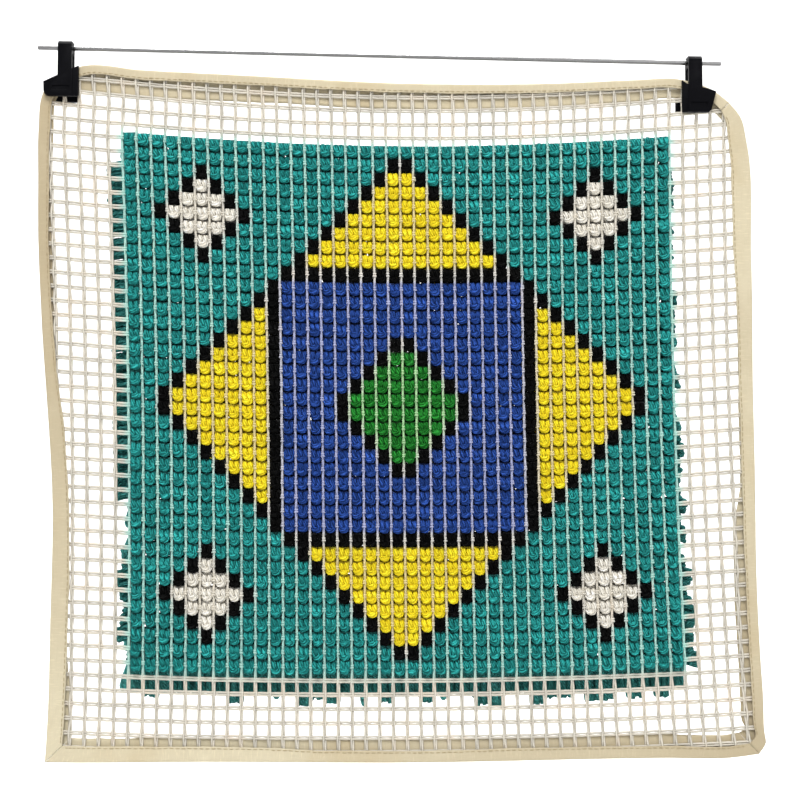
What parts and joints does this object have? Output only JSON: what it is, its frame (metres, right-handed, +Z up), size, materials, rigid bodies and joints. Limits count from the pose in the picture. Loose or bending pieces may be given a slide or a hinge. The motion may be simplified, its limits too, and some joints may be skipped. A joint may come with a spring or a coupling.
{
  "type": "latch hook wall hanging clipped to a thin bar",
  "caption": "Latch hook wall hanging seen from its knotted side: open rug canvas with yarn knots and cut pile, bound with tape and clipped to a thin metal bar.",
  "frame": {"origin": "middle of the bar, on its axis", "axes": "+X along the width, to the right as one faces the knotted side; +Y from the knots through the canvas to the pile; +Z up"},
  "size_m": [0.3993, 0.0335, 0.3944],
  "materials": {
    "canvas": "stiff cotton threads, matt",
    "binding": "plain cream cotton tape, matt",
    "yarn_teal": "acrylic rug yarn, soft sheen",
    "yarn_blue": "acrylic rug yarn, soft sheen",
    "yarn_yellow": "acrylic rug yarn, soft sheen",
    "yarn_green": "acrylic rug yarn, soft sheen",
    "yarn_cream": "acrylic rug yarn, soft sheen",
    "yarn_black": "acrylic rug yarn, soft sheen",
    "clip": "black moulded plastic",
    "bar": "bright plated steel"
  },
  "bodies": {
    "root": {"canvas": "canvas", "binding_top": "binding", "binding_right": "binding", "binding_bottom": "binding", "binding_left": "binding", "knots": "yarn_teal", "pile": "yarn_teal", "bar": "bar", "clip_left_near": "clip", "clip_left_far": "clip", "clip_right_near": "clip", "clip_right_far": "clip"}
  },
  "joints": []
}
